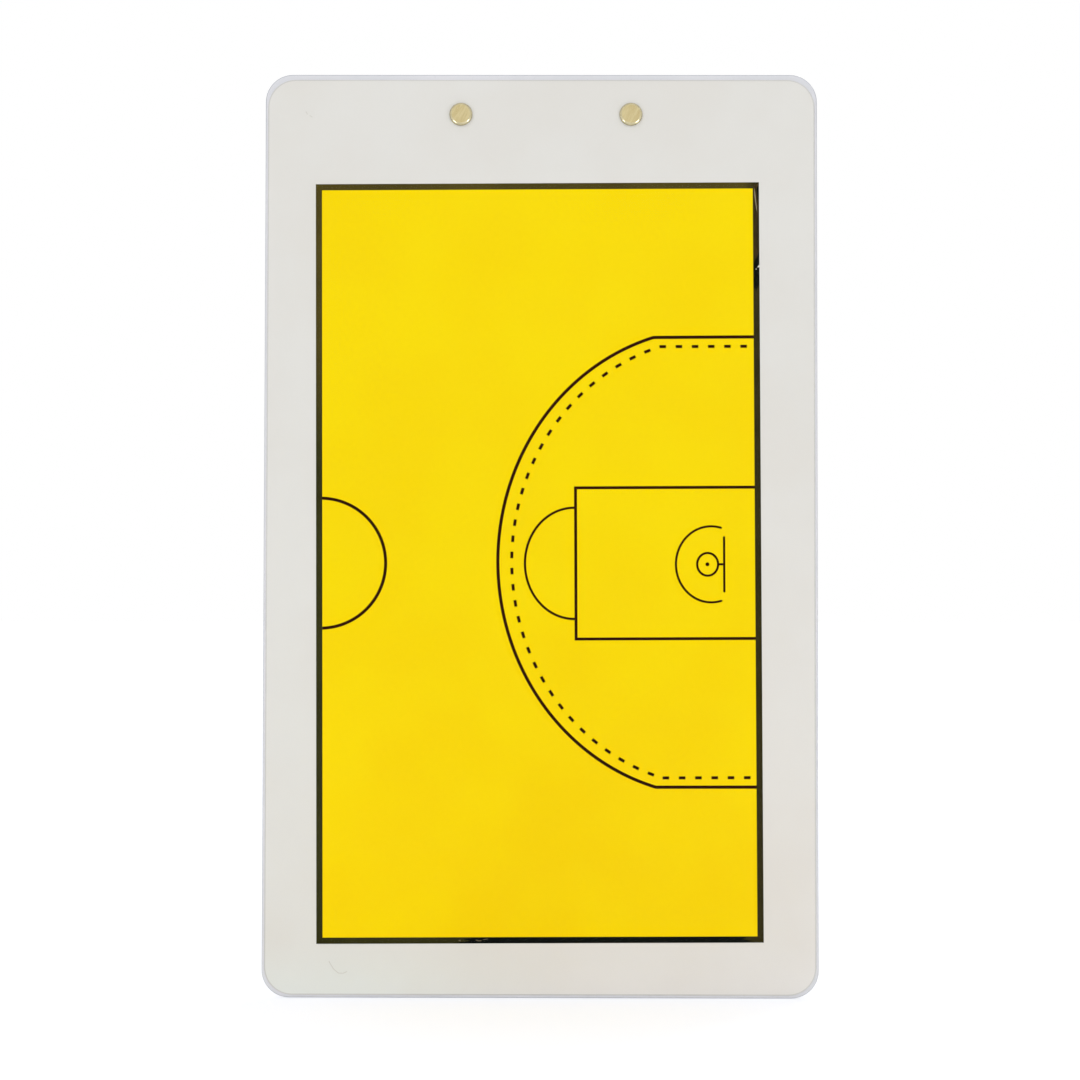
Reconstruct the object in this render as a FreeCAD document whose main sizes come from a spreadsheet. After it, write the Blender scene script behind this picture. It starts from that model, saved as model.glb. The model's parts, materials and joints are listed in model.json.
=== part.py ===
import FreeCAD, Part
import math
import os
import Sketcher

# Two-sided tactics board with a lever clip, in millimetres.
# The board hangs upright on the hole in the clip's thumb tab, which is the origin.
# X runs to the right seen from the half-court face, Y from that face to the clip, Z up.

# Driving sizes: name and value, in millimetres or degrees
SIZES = {
    # Board
    "board_width": 240.0,
    "board_height": 400.0,
    "board_corner_radius": 11.8,
    "core_thickness": 2.4,
    "core_edge_round": 0.5,
    # Printed sheets and clear films, set in from the board's edge
    "side_rim": 1.1,
    "top_rim": 2.3,
    "bottom_rim": 1.2,
    "sheet_corner_radius": 12.0,
    "sheet_thickness": 0.2,
    "film_thickness": 0.15,
    # Rivets: their spacing is a share of the clip's width, the head's rounding of its height
    "rivet_spacing_share": 0.74,
    "rivet_drop": 17.4,
    "rivet_setback": 8.0,
    "rivet_shank_diameter": 4.0,
    "rivet_clearance": 0.05,
    "rivet_head_diameter": 10.0,
    "rivet_head_height": 1.5,
    "rivet_head_round_share": 0.9,
    "clinch_diameter": 6.8,
    "clinch_height": 0.9,
    "clinch_round": 0.45,
    "rivet_bore_diameter": 2.4,
    "rivet_bore_depth": 2.6,
    # Clip, shared by its pieces
    "clip_offset": 2.05,
    "clip_width": 100.0,
    "clip_sheet": 1.0,
    "ear_side_gap": 0.3,
    # Base plate
    "base_front": 8.0,
    "base_rear": 15.5,
    "base_corner_radius": 3.0,
    "base_ear_radius": 3.7,
    "base_ear_bend": 0.6,
    # Hinge rod
    "rod_diameter": 4.0,
    "rod_press_gap": 0.01,
    "rod_running_gap": 0.05,
    "rod_head_diameter": 6.0,
    "rod_head_thickness": 1.0,
    "rod_head_gap": 0.1,
    "rod_head_round": 0.6,
    # Torsion spring
    "spring_wire_diameter": 1.5,
    "spring_rod_gap": 0.35,
    "spring_seat_gap": 0.25,
    "spring_pitch": 2.1,
    "spring_turns": 8,
    "spring_leg_length": 9.5,
    # Lever, reaches counted from the hinge line
    "jaw_reach": 26.0,
    "foot_length": 3.2,
    "foot_corner_radius": 2.0,
    "jaw_gap": 0.25,
    "crown_reach": 20.5,
    "front_tilt": 2.0,
    "rear_tilt": 20.0,
    "tab_start": 10.0,
    "tab_reach": 24.4,
    "tab_width": 62.0,
    "tab_corner_radius": 8.0,
    "neck_reach": 7.0,
    "neck_radius": 5.0,
    "lever_ear_radius": 4.2,
    "foot_bend": 1.2,
    "crown_bend": 4.5,
    "knee_bend": 8.0,
    "tab_bend": 6.0,
    "panel_width": 78.0,
    "panel_start": 4.8,
    "panel_end": 16.4,
    "panel_height": 0.6,
    "panel_wall": 0.5,
    "panel_round": 0.4,
    "hang_hole_diameter": 8.0,
    "hang_hole_reach": 17.4,
    # How far a cutting shape runs past the solid that it cuts
    "cut_overrun": 5.0,
}
EXACT = 1e-6
SEGMENTS_PER_TURN = 4
ALONG_X = FreeCAD.Vector(1, 0, 0)
ALONG_Y = FreeCAD.Vector(0, 1, 0)

# Places worked out from the driving sizes
COIL_RADIUS = "(Sizes.rod_diameter / 2 + Sizes.spring_rod_gap + Sizes.spring_wire_diameter)"
HINGE_HEIGHT = f"(Sizes.clip_sheet + Sizes.spring_seat_gap + {COIL_RADIUS})"
LEVER_TOP = f"({COIL_RADIUS} + Sizes.spring_seat_gap + Sizes.clip_sheet)"
TAB_TOP = f"(({LEVER_TOP} + Sizes.tab_start * sin(Sizes.rear_tilt)) / cos(Sizes.rear_tilt))"
LAYERS = "(Sizes.core_thickness + 2 * Sizes.sheet_thickness + 2 * Sizes.film_thickness)"
HINGE_Y = f"(Sizes.clip_sheet / 2 - {TAB_TOP})"
HINGE_Z = "(-Sizes.hang_hole_reach)"
REAR_FACE_Y = f"({HINGE_Y} - {HINGE_HEIGHT})"
FRONT_FACE_Y = f"({REAR_FACE_Y} - {LAYERS})"
RIVET_Z = f"({HINGE_Z} + Sizes.rivet_setback)"
BOTTOM_Z = f"({RIVET_Z} + Sizes.rivet_drop - Sizes.board_height)"
RIVET_HEIGHT = "(Sizes.board_height - Sizes.rivet_drop)"
RIVET_REACH = "(Sizes.clip_width * Sizes.rivet_spacing_share / 2)"
BASE_HALF_WIDTH = "(Sizes.clip_width / 2 - Sizes.clip_sheet - Sizes.ear_side_gap)"

doc = FreeCAD.newDocument("tactics_board")
sizes = doc.addObject("Spreadsheet::Sheet", "Sizes")
for row, (alias, size) in enumerate(SIZES.items(), start=1):
    sizes.set(f"A{row}", alias)
    sizes.set(f"B{row}", str(size))
    sizes.setAlias(f"B{row}", alias)
doc.recompute()


def number(expression):
    """The value that an expression has now."""
    return float(sizes.evalExpression(expression))


def place(piece, x, y, z):
    """Binds where a piece's own origin lies in the part's frame."""
    for axis, expression in zip("xyz", (x, y, z)):
        piece.setExpression(f"Placement.Base.{axis}", expression)


def new_body(name, x, y, z):
    body = doc.addObject("PartDesign::Body", name)
    body.Label = name
    place(body, x, y, z)
    return body


def origin_feature(body, role):
    return next(f for f in body.Origin.OriginFeatures if f.Role == role)


def new_sketch(body, name, plane, height="0"):
    """A sketch on one of the body's own planes, or at a height over it."""
    sketch = body.newObject("Sketcher::SketchObject", name)
    sketch.AttachmentSupport = [(origin_feature(body, plane), "")]
    sketch.MapMode = "FlatFace"
    sketch.setExpression("AttachmentOffset.Base.z", height)
    return sketch


def point_at(across, up):
    return FreeCAD.Vector(number(across), number(up), 0)


def bind(sketch, constraint, expression):
    index = sketch.addConstraint(constraint)
    sketch.setExpression(f"Constraints[{index}]", expression)


def pin_point(sketch, geometry, end, across, up):
    """Binds both coordinates of a point, counted from the sketch's origin."""
    bind(sketch, Sketcher.Constraint("DistanceX", -1, 1, geometry, end, number(across)), across)
    bind(sketch, Sketcher.Constraint("DistanceY", -1, 1, geometry, end, number(up)), up)


def add_polygon(sketch, corners):
    """A closed outline of straight lines through bound corners."""
    points = [point_at(*corner) for corner in corners]
    lines = []
    for start, end in zip(points, points[1:] + points[:1]):
        lines.append(sketch.addGeometry(Part.LineSegment(start, end)))
    for line, following in zip(lines, lines[1:] + lines[:1]):
        sketch.addConstraint(Sketcher.Constraint("Coincident", line, 2, following, 1))
    for line, corner in zip(lines, corners):
        pin_point(sketch, line, 1, *corner)


def add_rectangle(sketch, left, bottom, right, top):
    add_polygon(sketch, [(left, bottom), (right, bottom), (right, top), (left, top)])


def add_circle(sketch, across, up, radius):
    circle = Part.Circle(point_at(across, up), FreeCAD.Vector(0, 0, 1), number(radius))
    index = sketch.addGeometry(circle)
    pin_point(sketch, index, 3, across, up)
    bind(sketch, Sketcher.Constraint("Radius", index, number(radius)), radius)


def add_pad(body, name, sketch, length, back=False, both_ways=False):
    pad = body.newObject("PartDesign::Pad", name)
    pad.Profile = sketch
    pad.Reversed = back
    pad.SideType = "Symmetric" if both_ways else "One side"
    pad.setExpression("Length", length)
    doc.recompute()
    return pad


def add_cut(body, name, sketch, depth, both_ways=False):
    """A pocket, checked to have taken material away."""
    before = body.Shape.Volume
    pocket = body.newObject("PartDesign::Pocket", name)
    pocket.Profile = sketch
    pocket.SideType = "Symmetric" if both_ways else "One side"
    pocket.setExpression("Length", depth)
    doc.recompute()
    if body.Shape.Volume > before - EXACT:
        raise RuntimeError(f"{name} cuts nothing")
    return pocket


def add_fillet(body, name, radius, wanted):
    """Rounds the edges of the body's last feature that wanted picks."""
    base = body.Tip
    names = [f"Edge{i}" for i, edge in enumerate(base.Shape.Edges, start=1) if wanted(edge)]
    fillet = body.newObject("PartDesign::Fillet", name)
    fillet.Base = (base, names)
    fillet.setExpression("Radius", radius)
    doc.recompute()
    return fillet


def add_turned(body, name, sketch, axis):
    """Turns a half profile once round one of the body's axes."""
    turned = body.newObject("PartDesign::Revolution", name)
    turned.Profile = sketch
    turned.ReferenceAxis = (origin_feature(body, axis), [""])
    doc.recompute()
    return turned


def add_mirrored(body, name, feature, plane):
    mirrored = body.newObject("PartDesign::Mirrored", name)
    mirrored.Originals = [feature]
    mirrored.MirrorPlane = (origin_feature(body, plane), [""])
    body.Tip = mirrored
    doc.recompute()
    return mirrored


def runs_along(edge, axis):
    """True for a straight edge along the unit vector axis."""
    ends = [vertex.Point for vertex in edge.Vertexes]
    if len(ends) < 2 or edge.Curve.TypeId != "Part::GeomLine":
        return False
    return abs(abs((ends[1] - ends[0]).normalize().dot(axis)) - 1) < EXACT


def upright(edge):
    """True for an edge through the thickness of a flat piece, which lies across Y."""
    return runs_along(edge, ALONG_Y)


def add_rivet_holes(sketch, middle, height):
    """The two clearance holes for the rivets, each side of a middle line."""
    for side_sign in ("-", "+"):
        across = f"{middle} {side_sign} {RIVET_REACH}"
        add_circle(sketch, across, height, "Sizes.rivet_shank_diameter / 2 + Sizes.rivet_clearance")


def board_layer(name, front_y, thickness, corner_radius, inset=None, edge_round=None):
    """A flat layer of the board, from its front face back, with the two rivet holes.

    inset gives how far its side, top and bottom edges stand in from the board's.
    """
    side, top, bottom = inset or ("0", "0", "0")
    body = new_body(name, "-Sizes.clip_offset", front_y, BOTTOM_Z)
    outline = new_sketch(body, f"{name}_outline", "XZ_Plane")
    half_width = f"(Sizes.board_width / 2 - {side})"
    add_rectangle(outline, f"-{half_width}", bottom, half_width, f"Sizes.board_height - {top}")
    add_pad(body, f"{name}_slab", outline, thickness, back=True)
    add_fillet(body, f"{name}_corners", corner_radius, upright)
    if edge_round:
        add_fillet(body, f"{name}_edges", edge_round, lambda edge: not upright(edge))
    holes = new_sketch(body, f"{name}_holes", "XZ_Plane")
    add_rivet_holes(holes, "Sizes.clip_offset", RIVET_HEIGHT)
    add_cut(body, f"{name}_drilled", holes, f"{thickness} + Sizes.cut_overrun")
    return body


def make_board():
    """The core with a printed sheet and a clear film on each face."""
    inset = ("Sizes.side_rim", "Sizes.top_rim", "Sizes.bottom_rim")
    film, sheet, core = "Sizes.film_thickness", "Sizes.sheet_thickness", "Sizes.core_thickness"
    sheet_corner = "Sizes.sheet_corner_radius"
    layers = [
        ("front_film", film, sheet_corner, inset, None),
        ("half_court_sheet", sheet, sheet_corner, inset, None),
        ("core_board", core, "Sizes.board_corner_radius", None, "Sizes.core_edge_round"),
        ("full_court_sheet", sheet, sheet_corner, inset, None),
        ("rear_film", film, sheet_corner, inset, None),
    ]
    front_y = FRONT_FACE_Y
    pieces = []
    for name, thickness, corner_radius, layer_inset, edge_round in layers:
        pieces.append(board_layer(name, front_y, thickness, corner_radius, layer_inset, edge_round))
        front_y = f"({front_y} + {thickness})"
    return pieces


def make_rivet(name, side_sign):
    """A semi-tubular rivet: flat head on the half-court face, clinched on the base plate."""
    body = new_body(name, f"{side_sign}{RIVET_REACH}", FRONT_FACE_Y, RIVET_Z)
    profile = new_sketch(body, f"{name}_profile", "XY_Plane")
    head, shank = "Sizes.rivet_head_diameter / 2", "Sizes.rivet_shank_diameter / 2"
    clinch, bore = "Sizes.clinch_diameter / 2", "Sizes.rivet_bore_diameter / 2"
    grip = f"({LAYERS} + Sizes.clip_sheet)"
    end = f"({grip} + Sizes.clinch_height)"
    bore_floor = f"({end} - Sizes.rivet_bore_depth)"
    add_polygon(
        profile,
        [
            ("0", "-Sizes.rivet_head_height"),
            (head, "-Sizes.rivet_head_height"),
            (head, "0"),
            (shank, "0"),
            (shank, grip),
            (clinch, grip),
            (clinch, end),
            (bore, end),
            (bore, bore_floor),
            ("0", bore_floor),
        ],
    )
    add_turned(body, f"{name}_turned", profile, "Y_Axis")

    def rim(radius, y):
        def wanted(edge):
            on_height = abs(edge.BoundBox.Center.y - number(y)) < EXACT
            return on_height and abs(edge.BoundBox.XMax - number(radius)) < EXACT

        return wanted

    head_rim = rim(head, "-Sizes.rivet_head_height")
    head_round = "Sizes.rivet_head_height * Sizes.rivet_head_round_share"
    add_fillet(body, f"{name}_head_rim", head_round, head_rim)
    add_fillet(body, f"{name}_clinch_rim", "Sizes.clinch_round", rim(clinch, end))
    return body


def make_base_plate():
    """The riveted plate, with an ear standing up at each end for the rod."""
    body = new_body("clip_base_plate", "0", HINGE_Y, HINGE_Z)
    outline = new_sketch(body, "base_outline", "XZ_Plane", HINGE_HEIGHT)
    add_rectangle(
        outline, f"-{BASE_HALF_WIDTH}", "-Sizes.base_front", BASE_HALF_WIDTH, "Sizes.base_rear"
    )
    add_pad(body, "base_slab", outline, "Sizes.clip_sheet", back=True)
    add_fillet(body, "base_corners", "Sizes.base_corner_radius", upright)
    holes = new_sketch(body, "base_holes", "XZ_Plane", HINGE_HEIGHT)
    add_rivet_holes(holes, "0", "Sizes.rivet_setback")
    add_cut(body, "base_drilled", holes, "Sizes.clip_sheet + Sizes.cut_overrun")
    ear = new_sketch(body, "base_ear", "YZ_Plane", f"{BASE_HALF_WIDTH} - Sizes.clip_sheet")
    radius = "Sizes.base_ear_radius"
    add_ear(ear, radius, [(f"-{HINGE_HEIGHT}", f"-{radius}"), (f"-{HINGE_HEIGHT}", radius)])
    add_circle(ear, "0", "0", "Sizes.rod_diameter / 2 + Sizes.rod_press_gap")
    ear_pad = add_pad(body, "base_ear_right", ear, "Sizes.clip_sheet")
    add_mirrored(body, "base_ears", ear_pad, "YZ_Plane")

    def ear_root(edge):
        middle = edge.BoundBox.Center
        on_plate = abs(middle.y - number(f"Sizes.clip_sheet - {HINGE_HEIGHT}")) < EXACT
        inside = abs(abs(middle.x) - number(f"{BASE_HALF_WIDTH} - Sizes.clip_sheet")) < EXACT
        return on_plate and inside

    add_fillet(body, "base_bends", "Sizes.base_ear_bend", ear_root)
    return body


def arc_end(sketch, arc, point):
    """Which end of a sketched arc lies at a point: 1 or 2."""
    gaps = [sketch.getPoint(arc, end).distanceToPoint(point) for end in (1, 2)]
    return 1 if gaps[0] < gaps[1] else 2


def add_arc_outline(sketch, stops, centre, radius, bulge, held):
    """A closed outline: lines through bound stops, and an arc back round a bound centre.

    bulge is the way from the centre to the arc's middle, and held the coordinate, X or Y, that
    binds the first and the last stop, which lie on the arc.
    """
    points = [point_at(*stop) for stop in stops]
    middle = point_at(*centre) + bulge.normalize() * number(radius)
    arc = sketch.addGeometry(Part.Arc(points[-1], middle, points[0]))
    lines = []
    for start, end in zip(points, points[1:]):
        lines.append(sketch.addGeometry(Part.LineSegment(start, end)))
    for line, following in zip(lines, lines[1:]):
        sketch.addConstraint(Sketcher.Constraint("Coincident", line, 2, following, 1))
    for line, stop in zip(lines[1:], stops[1:]):
        pin_point(sketch, line, 1, *stop)
    pin_point(sketch, arc, 3, *centre)
    bind(sketch, Sketcher.Constraint("Radius", arc, number(radius)), radius)
    for line, end, at, axis in ((lines[0], 1, 0, held[0]), (lines[-1], 2, -1, held[1])):
        arc_side = arc_end(sketch, arc, points[at])
        sketch.addConstraint(Sketcher.Constraint("Coincident", line, end, arc, arc_side))
        value = stops[at]["XY".index(axis)]
        distance = Sketcher.Constraint(f"Distance{axis}", -1, 1, line, end, number(value))
        bind(sketch, distance, value)


def add_ear(sketch, radius, corners):
    """An ear: half a circle round the hinge, closed through corners on its other side."""
    stops = [("0", f"-{radius}")] + corners + [("0", radius)]
    bulge = FreeCAD.Vector(-number(corners[0][0]), 0, 0)
    add_arc_outline(sketch, stops, ("0", "0"), radius, bulge, "XX")


def add_neck_notch(sketch, side_sign):
    """What is cut away beside the thumb tab, with a rounded inner corner."""
    inside, outside = "(Sizes.tab_width / 2)", "(Sizes.clip_width / 2 + Sizes.cut_overrun)"
    bottom, top = "Sizes.neck_reach", "(Sizes.tab_reach + Sizes.cut_overrun)"
    radius = "Sizes.neck_radius"
    centre_across, centre_up = f"({inside} + {radius})", f"({bottom} + {radius})"
    right = [
        (centre_across, bottom),
        (outside, bottom),
        (outside, top),
        (inside, top),
        (inside, centre_up),
    ]
    stops = [(f"{side_sign}{across}", up) for across, up in right]
    centre = (f"{side_sign}{centre_across}", centre_up)
    bulge = point_at(f"{side_sign}{inside}", bottom) - point_at(*centre)
    add_arc_outline(sketch, stops, centre, radius, bulge, "XY")


def turn_arc(before, corner, after, radius):
    """The arc of a radius that rounds a corner between two straight runs."""
    back = (before - corner).normalize()
    onward = (after - corner).normalize()
    half_angle = back.getAngle(onward) / 2
    trim = radius / math.tan(half_angle)
    inward = (back + onward).normalize()
    middle = corner + inward * (radius / math.sin(half_angle) - radius)
    return Part.Arc(corner + back * trim, middle, corner + onward * trim)


def add_rounded_path(sketch, points, radii):
    """Straight runs through points, joined by tangent arcs of bound radii."""
    arcs = []
    for index, radius in enumerate(radii, start=1):
        arcs.append(turn_arc(*points[index - 1 : index + 2], number(radius)))
    starts = points[:1] + [arc.EndPoint for arc in arcs]
    ends = [arc.StartPoint for arc in arcs] + points[-1:]
    line_ids = [sketch.addGeometry(Part.LineSegment(*run)) for run in zip(starts, ends)]
    arc_ids = [sketch.addGeometry(arc) for arc in arcs]
    for index, (arc_id, arc) in enumerate(zip(arc_ids, arcs)):
        first = arc_end(sketch, arc_id, arc.StartPoint)
        for line, line_end, side in ((index, 2, first), (index + 1, 1, 3 - first)):
            tangent = Sketcher.Constraint("Tangent", line_ids[line], line_end, arc_id, side)
            sketch.addConstraint(tangent)
        bind(sketch, Sketcher.Constraint("Radius", arc_id, number(radii[index])), radii[index])
    return line_ids, arc_ids


def add_bent_strip(sketch, corners, bends, thickness):
    """The closed section of a bent sheet.

    corners are the bound corners of its outer side, bends the radius there at each corner
    between two runs, and the sheet lies to the left of the way through the corners.
    """
    outer = [point_at(*corner) for corner in corners]
    directions = [(end - start).normalize() for start, end in zip(outer, outer[1:])]
    normals = [FreeCAD.Vector(-way.y, way.x, 0) for way in directions]
    inner = [outer[0] + normals[0] * number(thickness)]
    inner_bends = []
    for index, bend in enumerate(bends):
        mean = (normals[index] + normals[index + 1]).normalize()
        inner.append(outer[index + 1] + mean * (number(thickness) / mean.dot(normals[index])))
        left_turn = directions[index].cross(directions[index + 1]).z > 0
        inner_bends.append(f"{bend} - {thickness}" if left_turn else f"{bend} + {thickness}")
    inner.append(outer[-1] + normals[-1] * number(thickness))

    guides = []
    for start, end in zip(outer, outer[1:]):
        guides.append(sketch.addGeometry(Part.LineSegment(start, end), True))
    for guide, following in zip(guides, guides[1:]):
        sketch.addConstraint(Sketcher.Constraint("Coincident", guide, 2, following, 1))
    for guide, corner in zip(guides, corners):
        pin_point(sketch, guide, 1, *corner)
    pin_point(sketch, guides[-1], 2, *corners[-1])

    outer_lines, outer_arcs = add_rounded_path(sketch, outer, bends)
    inner_lines, inner_arcs = add_rounded_path(sketch, inner, inner_bends)
    last = len(guides) - 1
    for index, (line, guide) in enumerate(zip(outer_lines, guides)):
        for end, outermost in ((1, index == 0), (2, index == last)):
            if outermost:
                held = Sketcher.Constraint("Coincident", line, end, guide, end)
            else:
                held = Sketcher.Constraint("PointOnObject", line, end, guide)
            sketch.addConstraint(held)
    for outer_arc, inner_arc in zip(outer_arcs, inner_arcs):
        sketch.addConstraint(Sketcher.Constraint("Coincident", outer_arc, 3, inner_arc, 3))
    for index, end in ((0, 1), (last, 2)):
        outer_line, inner_line = outer_lines[index], inner_lines[index]
        sketch.addConstraint(Sketcher.Constraint("Parallel", outer_line, inner_line))
        cap_ends = [sketch.getPoint(line, end) for line in (outer_line, inner_line)]
        cap = sketch.addGeometry(Part.LineSegment(*cap_ends))
        sketch.addConstraint(Sketcher.Constraint("Coincident", cap, 1, outer_line, end))
        sketch.addConstraint(Sketcher.Constraint("Coincident", cap, 2, inner_line, end))
        sketch.addConstraint(Sketcher.Constraint("Perpendicular", cap, outer_line))


def add_round_ended(sketch, half_width, bottom, top):
    """A panel's outline: two lines across, closed by a half circle at each end."""
    radius = f"(({top} - {bottom}) / 2)"
    centre_up = f"(({top} + {bottom}) / 2)"
    centre_across = f"({half_width} - {radius})"
    low, high = number(bottom), number(top)
    left, right = -number(centre_across), number(centre_across)
    lines = []
    for start, end, up in ((left, right, low), (right, left, high)):
        run = Part.LineSegment(FreeCAD.Vector(start, up, 0), FreeCAD.Vector(end, up, 0))
        lines.append(sketch.addGeometry(run))
    for index, (side_sign, across) in enumerate((("", right), ("-", left))):
        ends = [FreeCAD.Vector(across, up, 0) for up in (low, high)]
        tip = math.copysign(number(half_width), across)
        middle = FreeCAD.Vector(tip, number(centre_up), 0)
        arc = sketch.addGeometry(Part.Arc(ends[0], middle, ends[1]))
        pin_point(sketch, arc, 3, f"{side_sign}{centre_across}", centre_up)
        bind(sketch, Sketcher.Constraint("Radius", arc, number(radius)), radius)
        for line, line_end, point in ((lines[0], 2 - index, ends[0]), (lines[1], 1 + index, ends[1])):
            side = arc_end(sketch, arc, point)
            sketch.addConstraint(Sketcher.Constraint("Tangent", line, line_end, arc, side))


def new_crown_sketch(body, name, height):
    """A sketch along the lever's front plane, at a height over the hinge line."""
    sketch = new_sketch(body, name, "XZ_Plane", f"-{height} * cos(Sizes.front_tilt)")
    level = sketch.AttachmentOffset
    level.Rotation = FreeCAD.Rotation(ALONG_X, -number("Sizes.front_tilt"))
    sketch.AttachmentOffset = level
    sketch.setExpression("AttachmentOffset.Base.y", f"-{height} * sin(Sizes.front_tilt)")
    sketch.setExpression("AttachmentOffset.Rotation.Angle", "-Sizes.front_tilt")
    return sketch


def add_crown_panel(body):
    """The pressed panel that stiffens the crown: raised outside, hollow underneath."""
    raised = new_crown_sketch(body, "panel_raised", LEVER_TOP)
    bottom, top = "(-Sizes.panel_end)", "(-Sizes.panel_start)"
    add_round_ended(raised, "(Sizes.panel_width / 2)", bottom, top)
    add_pad(body, "lever_panel", raised, "Sizes.panel_height", back=True)
    panel_top = number(f"{LEVER_TOP} + Sizes.panel_height")
    tilt = math.radians(number("Sizes.front_tilt"))
    outward = FreeCAD.Vector(0, math.cos(tilt), -math.sin(tilt))

    def on_rim(edge):
        middle = edge.valueAt((edge.FirstParameter + edge.LastParameter) / 2)
        return abs(middle.dot(outward) - panel_top) < EXACT

    add_fillet(body, "lever_panel_rim", "Sizes.panel_round", on_rim)
    hollow = new_crown_sketch(body, "panel_hollow", f"({LEVER_TOP} - Sizes.clip_sheet)")
    wall = "Sizes.panel_wall"
    half_width = f"(Sizes.panel_width / 2 - {wall})"
    add_round_ended(hollow, half_width, f"({bottom} + {wall})", f"({top} - {wall})")
    add_cut(body, "lever_panel_hollow", hollow, "Sizes.panel_height")


def over_hinge(height, tilt, reach):
    """How far a tilted plane stands over the hinge line, at a reach from it."""
    return f"(({height} + {reach} * sin({tilt})) / cos({tilt}))"


def knee(height):
    """Where the lever's front and rear planes meet, over the hinge line and along the lever."""
    mean = "((Sizes.front_tilt + Sizes.rear_tilt) / 2)"
    half = "((Sizes.rear_tilt - Sizes.front_tilt) / 2)"
    return f"({height} * cos({mean}) / cos({half}))", f"(-{height} * sin({mean}) / cos({half}))"


def at_corners(x, z):
    """Picks the edges along Y that stand at plus and minus x, at a height z."""

    def wanted(edge):
        centre = edge.BoundBox.Center
        near_x = abs(abs(centre.x) - number(x)) < EXACT
        return upright(edge) and near_x and abs(centre.z - number(z)) < EXACT

    return wanted


def make_lever():
    """The pressed lever: foot, jaw, crown over the spring, ears and thumb tab."""
    body = new_body("clip_lever", "0", HINGE_Y, HINGE_Z)
    sheet = "Sizes.clip_sheet"
    foot_top = f"(Sizes.jaw_gap + {sheet} - {HINGE_HEIGHT})"
    foot_end = "(-Sizes.jaw_reach - Sizes.foot_length)"
    section = new_sketch(body, "lever_section", "YZ_Plane")
    crown_top = over_hinge(LEVER_TOP, "Sizes.front_tilt", "(-Sizes.crown_reach)")
    add_bent_strip(
        section,
        [
            (foot_top, foot_end),
            (foot_top, "-Sizes.jaw_reach"),
            (crown_top, "-Sizes.crown_reach"),
            knee(LEVER_TOP),
            (TAB_TOP, "Sizes.tab_start"),
            (TAB_TOP, "Sizes.tab_reach"),
        ],
        ["Sizes.foot_bend", "Sizes.crown_bend", "Sizes.knee_bend", "Sizes.tab_bend"],
        sheet,
    )
    add_pad(body, "lever_strip", section, "Sizes.clip_width", both_ways=True)

    neck = new_sketch(body, "lever_neck", "XZ_Plane")
    for side_sign in ("-", ""):
        add_neck_notch(neck, side_sign)
    cut_depth = f"2 * ({TAB_TOP} + Sizes.cut_overrun)"
    add_cut(body, "lever_narrowed", neck, cut_depth, both_ways=True)
    roundings = [
        ("lever_tab_corners", "Sizes.tab_corner_radius", "Sizes.tab_width / 2", "Sizes.tab_reach"),
        ("lever_foot_corners", "Sizes.foot_corner_radius", "Sizes.clip_width / 2", foot_end),
    ]
    for name, radius, across, up in roundings:
        add_fillet(body, name, radius, at_corners(across, up))

    add_crown_panel(body)
    hole = new_sketch(body, "lever_hole", "XZ_Plane")
    add_circle(hole, "0", "Sizes.hang_hole_reach", "Sizes.hang_hole_diameter / 2")
    add_cut(body, "lever_holed", hole, cut_depth, both_ways=True)

    ear = new_sketch(body, "lever_ear", "YZ_Plane", f"Sizes.clip_width / 2 - {sheet}")
    radius = "Sizes.lever_ear_radius"
    middle = f"({LEVER_TOP} - {sheet} / 2)"
    front = over_hinge(middle, "Sizes.front_tilt", f"(-{radius})")
    rear = over_hinge(middle, "Sizes.rear_tilt", radius)
    add_ear(ear, radius, [(front, f"-{radius}"), knee(middle), (rear, radius)])
    add_circle(ear, "0", "0", "Sizes.rod_diameter / 2 + Sizes.rod_running_gap")
    ear_pad = add_pad(body, "lever_ear_right", ear, sheet)
    add_mirrored(body, "lever_ears", ear_pad, "YZ_Plane")
    return body


def make_rod():
    """The hinge rod, with a peened head outside each of the lever's ears."""
    body = new_body("hinge_rod", "0", HINGE_Y, HINGE_Z)
    profile = new_sketch(body, "rod_profile", "XY_Plane")
    rod, head = "Sizes.rod_diameter / 2", "Sizes.rod_head_diameter / 2"
    seat = "(Sizes.clip_width / 2 + Sizes.rod_head_gap)"
    end = f"({seat} + Sizes.rod_head_thickness)"
    right = [(seat, rod), (seat, head), (end, head), (end, "0")]
    left = [(f"-{across}", up) for across, up in reversed(right)]
    add_polygon(profile, left + right)
    add_turned(body, "rod_turned", profile, "X_Axis")

    def head_rim(edge):
        box = edge.BoundBox
        at_end = abs(abs(box.Center.x) - number(end)) < EXACT
        return at_end and abs(box.YMax - number(head)) < EXACT

    add_fillet(body, "rod_heads", "Sizes.rod_head_round", head_rim)
    return body


def biarc(start, start_way, end, end_way):
    """Two arcs that leave start and reach end along unit directions, and meet smoothly."""
    chord = end - start
    ways = start_way + end_way
    spread = 2 * (1 - start_way.dot(end_way))
    along = chord.dot(ways)
    reach = (math.sqrt(along * along + spread * chord.dot(chord)) - along) / spread
    joint = (start + start_way * reach + end - end_way * reach) * (1 / 2)
    return [tangent_arc(start, start_way, joint), tangent_arc(end, -end_way, joint)]


def tangent_arc(start, way, end):
    """The arc that leaves start along a unit direction and reaches end."""
    chord = end - start
    forward = chord.normalize()
    half = (end - start).Length / 2
    sideways = way - forward * way.dot(forward)
    rise = half * math.tan(math.asin(sideways.Length) / 2)
    middle = (start + end) * (1 / 2) + sideways.normalize() * rise
    return Part.Arc(start, middle, end)


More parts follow.
